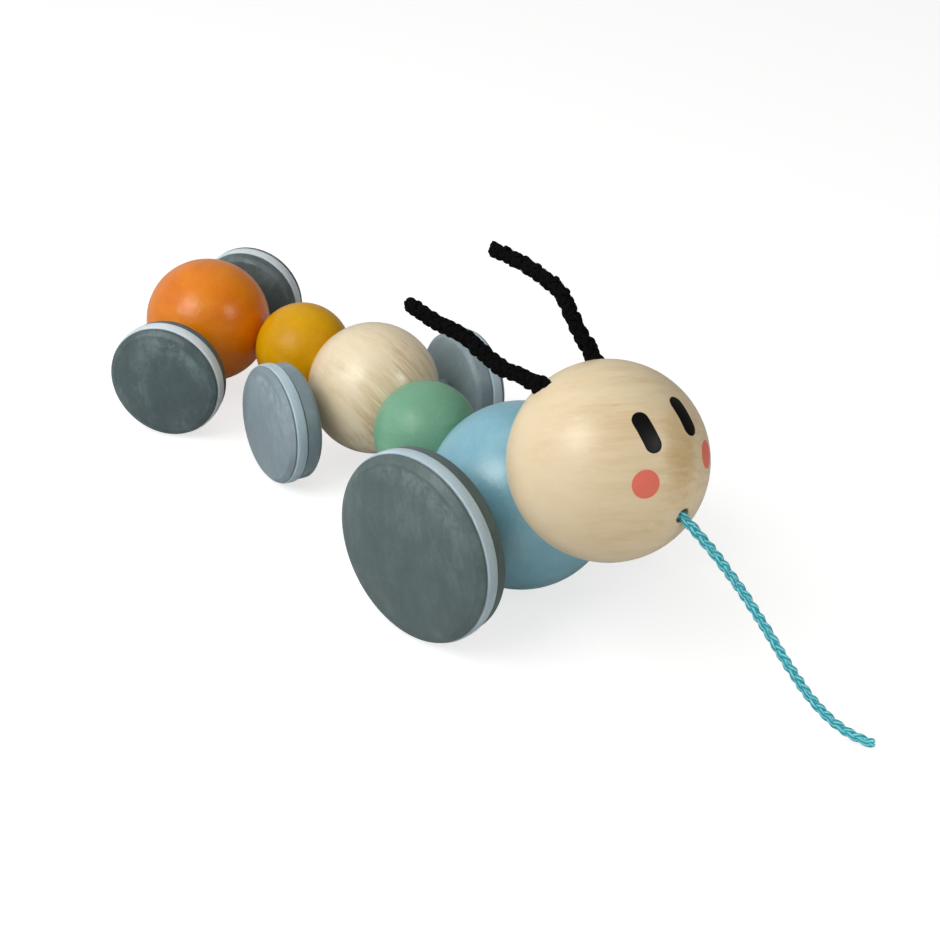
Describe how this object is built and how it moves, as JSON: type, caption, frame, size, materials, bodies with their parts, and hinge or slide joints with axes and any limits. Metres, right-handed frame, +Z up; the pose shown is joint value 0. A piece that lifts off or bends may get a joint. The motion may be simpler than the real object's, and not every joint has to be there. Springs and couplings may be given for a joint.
{
  "type": "pull along toy",
  "caption": "Wooden pull-along crawler with a face: balls strung on elastic, turning wheelsets with rubber tyres, braided antennae and a pull cord from its mouth.",
  "frame": {"origin": "on the floor, under the middle of the whole toy's box, pull cord and antennae included", "axes": "+X the front wheels' rolling direction and the toy's length, +Y the toy's left, +Z up; all six tyres stand on z = 0"},
  "size_m": [0.3527, 0.1288, 0.1147],
  "materials": {
    "lacquered_wood": "clear satin lacquer over pale fine-grained wood",
    "blue_paint": "satin light blue paint on wood",
    "green_paint": "satin sage green paint on wood",
    "yellow_paint": "satin mustard yellow paint on wood",
    "orange_paint": "satin orange paint on wood",
    "slate_paint": "matt slate grey-green paint on wood, slightly worn at the rim",
    "slate_blue_paint": "matt blue-grey paint on wood, slightly worn at the rim",
    "tyre_rubber": "matt pale blue-grey rubber",
    "black_cord": "black braided cotton cord",
    "teal_cord": "teal braided cord",
    "elastic_cord": "off-white covered elastic cord",
    "plain_wood": "bare turned beech",
    "eye_paint": "black printed paint on the head",
    "cheek_paint": "coral printed paint on the head"
  },
  "bodies": {
    "front_body": {"front_body_ball": "blue_paint", "elastic_in_front_ball": "elastic_cord"},
    "neck_link": {"elastic_link_neck": "elastic_cord"},
    "head": {"head_ball": "lacquered_wood", "elastic_in_head": "elastic_cord", "antenna_left_root": "black_cord", "antenna_right_root": "black_cord", "pull_cord_root": "teal_cord"},
    "link_1": {"elastic_link_1": "elastic_cord"},
    "front_bead": {"front_bead": "green_paint", "elastic_in_front_bead": "elastic_cord"},
    "link_2": {"elastic_link_2": "elastic_cord"},
    "middle_body": {"middle_body_ball": "lacquered_wood", "elastic_in_middle_ball": "elastic_cord"},
    "link_3": {"elastic_link_3": "elastic_cord"},
    "rear_bead": {"rear_bead": "yellow_paint", "elastic_in_rear_bead": "elastic_cord"},
    "link_4": {"elastic_link_4": "elastic_cord"},
    "rear_body": {"rear_body_ball": "orange_paint", "elastic_in_rear_ball": "elastic_cord", "tail_knot": "elastic_cord"},
    "antenna_left": {"antenna_left": "black_cord"},
    "antenna_right": {"antenna_right": "black_cord"},
    "pull_cord_link": {"pull_cord_link": "teal_cord"},
    "pull_cord_upper": {"pull_cord_upper": "teal_cord"},
    "pull_cord_lower": {"pull_cord_lower": "teal_cord"},
    "front_wheelset": {"front_axle": "plain_wood", "front_wheel_left": "slate_paint", "front_wheel_right": "slate_paint", "front_tyre_left": "tyre_rubber", "front_tyre_right": "tyre_rubber", "front_collar_left": "slate_paint", "front_collar_right": "slate_paint"},
    "middle_wheelset": {"middle_axle": "plain_wood", "middle_wheel_left": "slate_blue_paint", "middle_wheel_right": "slate_blue_paint", "middle_tyre_left": "tyre_rubber", "middle_tyre_right": "tyre_rubber", "middle_collar_left": "slate_blue_paint", "middle_collar_right": "slate_blue_paint"},
    "rear_wheelset": {"rear_axle": "plain_wood", "rear_wheel_left": "slate_paint", "rear_wheel_right": "slate_paint", "rear_tyre_left": "tyre_rubber", "rear_tyre_right": "tyre_rubber", "rear_collar_left": "slate_paint", "rear_collar_right": "slate_paint"}
  },
  "joints": [
    {"name": "neck_turn", "type": "hinge", "parent": "front_body", "child": "neck_link", "pos_m": [0.06503, -0.01933, 0.05473], "axis": [0.717, -0.2926, 0.6327], "range_deg": [-40, 40]},
    {"name": "neck_nod", "type": "hinge", "parent": "neck_link", "child": "head", "pos_m": [0.06503, -0.01933, 0.05473], "axis": [0.3778, 0.9259, 0], "range_deg": [-8, 8]},
    {"name": "bend_1_yaw", "type": "hinge", "parent": "front_body", "child": "link_1", "pos_m": [0.0104, -0.00586, 0.03431], "axis": [0, 0, 1], "range_deg": [-12, 12]},
    {"name": "bend_1_pitch", "type": "hinge", "parent": "link_1", "child": "front_bead", "pos_m": [0.0104, -0.00586, 0.03431], "axis": [-0.1288, -0.9917, 0], "range_deg": [-8, 8]},
    {"name": "bend_2_yaw", "type": "hinge", "parent": "front_bead", "child": "link_2", "pos_m": [-0.02636, 0.0029, 0.0328], "axis": [0, 0, 1], "range_deg": [-12, 12]},
    {"name": "bend_2_pitch", "type": "hinge", "parent": "link_2", "child": "middle_body", "pos_m": [-0.02636, 0.0029, 0.0328], "axis": [-0.3322, -0.9432, 0], "range_deg": [-8, 8]},
    {"name": "bend_3_yaw", "type": "hinge", "parent": "middle_body", "child": "link_3", "pos_m": [-0.075, 0.01345, 0.02978], "axis": [0, 0, 1], "range_deg": [-12, 6]},
    {"name": "bend_3_pitch", "type": "hinge", "parent": "link_3", "child": "rear_bead", "pos_m": [-0.075, 0.01345, 0.02978], "axis": [-0.0889, -0.996, 0], "range_deg": [-8, 8]},
    {"name": "bend_4_yaw", "type": "hinge", "parent": "rear_bead", "child": "link_4", "pos_m": [-0.11195, 0.00907, 0.02953], "axis": [0, 0, 1], "range_deg": [-12, 6]},
    {"name": "bend_4_pitch", "type": "hinge", "parent": "link_4", "child": "rear_body", "pos_m": [-0.11195, 0.00907, 0.02953], "axis": [0.319, -0.9478, 0], "range_deg": [-8, 8]},
    {"name": "front_axle_spin", "type": "hinge", "parent": "front_body", "child": "front_wheelset", "pos_m": [0.0402, -0.00907, 0.0323], "axis": [0, 1, 0], "continuous": true},
    {"name": "middle_axle_spin", "type": "hinge", "parent": "middle_body", "child": "middle_wheelset", "pos_m": [-0.05183, 0.01441, 0.02255], "axis": [0.2622, 0.965, 0], "continuous": true},
    {"name": "rear_axle_spin", "type": "hinge", "parent": "rear_body", "child": "rear_wheelset", "pos_m": [-0.13532, 0.00239, 0.02255], "axis": [-0.4648, 0.8854, 0], "continuous": true},
    {"name": "antenna_left_sway", "type": "hinge", "parent": "head", "child": "antenna_left", "pos_m": [0.06524, -0.01556, 0.09952], "axis": [-0.1981, -0.9802, 0], "range_deg": [-15, 15], "stiffness_Nm_per_rad": 0.004},
    {"name": "antenna_right_sway", "type": "hinge", "parent": "head", "child": "antenna_right", "pos_m": [0.06184, -0.03936, 0.09463], "axis": [0.0158, -0.9999, 0], "range_deg": [-15, 15], "stiffness_Nm_per_rad": 0.004},
    {"name": "pull_cord_side", "type": "hinge", "parent": "head", "child": "pull_cord_link", "pos_m": [0.11805, -0.02932, 0.06812], "axis": [0, 0, 1], "range_deg": [-30, 30]},
    {"name": "pull_cord_lift", "type": "hinge", "parent": "pull_cord_link", "child": "pull_cord_upper", "pos_m": [0.12056, -0.02779, 0.06548], "axis": [-0.537, 0.8436, 0], "range_deg": [-60, 30]},
    {"name": "pull_cord_bend", "type": "hinge", "parent": "pull_cord_upper", "child": "pull_cord_lower", "pos_m": [0.14337, -0.01371, 0.03495], "axis": [-0.537, 0.8436, 0], "range_deg": [-60, 30]}
  ]
}
